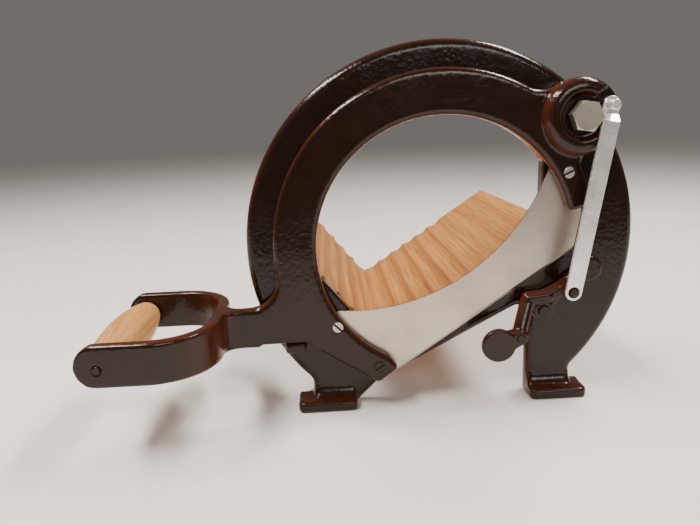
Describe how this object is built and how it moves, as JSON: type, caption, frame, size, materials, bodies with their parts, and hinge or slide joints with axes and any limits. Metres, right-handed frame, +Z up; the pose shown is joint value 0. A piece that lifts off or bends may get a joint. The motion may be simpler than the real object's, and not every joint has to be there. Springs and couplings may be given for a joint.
{
  "type": "hand bread slicer",
  "caption": "Hand bread slicer: ring-shaped cast frame on feet, swinging arm with fork handle and curved blade, linked stop paddle and fluted wooden V chute.",
  "frame": {"origin": "on the table, in the middle of the overall length and width", "axes": "+X to the user's right, away from the handle; +Y away from the user, along the chute; +Z up"},
  "size_m": [0.4704, 0.3744, 0.3195],
  "materials": {
    "enamel": "glossy dark brown enamel with orange peel",
    "blade_steel": "ground and brushed",
    "zinc": "bright plating, pitted",
    "plated_steel": "dull plating",
    "bright_steel": "turned",
    "bearing_bronze": "machined",
    "chute_wood": "oiled, straight grain along the chute",
    "grip_wood": "turned, satin"
  },
  "bodies": {
    "frame": {"frame_casting": "enamel", "rear_support": "enamel", "chute_board_right": "chute_wood", "chute_board_left": "chute_wood", "front_board_screws": "bright_steel", "rear_board_screws": "bright_steel", "pivot_bolt": "plated_steel", "pivot_head_washer": "plated_steel", "pivot_thrust_washer": "plated_steel", "pivot_back_washer": "plated_steel", "pivot_spring_washer": "plated_steel", "pivot_nut": "plated_steel", "lever_pivot_pin": "enamel", "lever_washer": "plated_steel", "lever_back_washer": "plated_steel", "lever_nut": "plated_steel"},
    "arm": {"swing_arm": "enamel", "blade": "blade_steel", "blade_screws": "bright_steel", "blade_tip_screw": "enamel", "pivot_bush": "bearing_bronze", "link_upper_pin": "zinc", "link_upper_washer": "zinc", "grip_rod": "enamel", "grip_washers": "plated_steel"},
    "link": {"link_bar": "zinc"},
    "stop": {"stop_lever": "enamel", "link_lower_pin": "enamel", "stop_set_screw": "enamel"},
    "grip": {"handle_grip": "grip_wood"}
  },
  "joints": [
    {"name": "arm_swing", "type": "hinge", "parent": "frame", "child": "arm", "pos_m": [0.17575, -0.1112, 0.252], "axis": [0, 1, 0], "range_deg": [0, 55]},
    {"name": "link_swing", "type": "hinge", "parent": "arm", "child": "link", "pos_m": [0.1983, -0.124, 0.26021], "axis": [0, 1, 0], "range_deg": [-61, 0]},
    {"name": "stop_turn", "type": "hinge", "parent": "frame", "child": "stop", "pos_m": [0.15325, -0.109, 0.0835], "axis": [0, 1, 0], "range_deg": [0, 58]},
    {"name": "grip_spin", "type": "hinge", "parent": "arm", "child": "grip", "pos_m": [-0.21675, -0.1112, 0.08], "axis": [0, 1, 0], "continuous": true}
  ],
  "couplings": [
    {"joint": "link_swing", "follows": "arm_swing", "ratio": -1.0835},
    {"joint": "stop_turn", "follows": "arm_swing", "ratio": 1.0264}
  ]
}
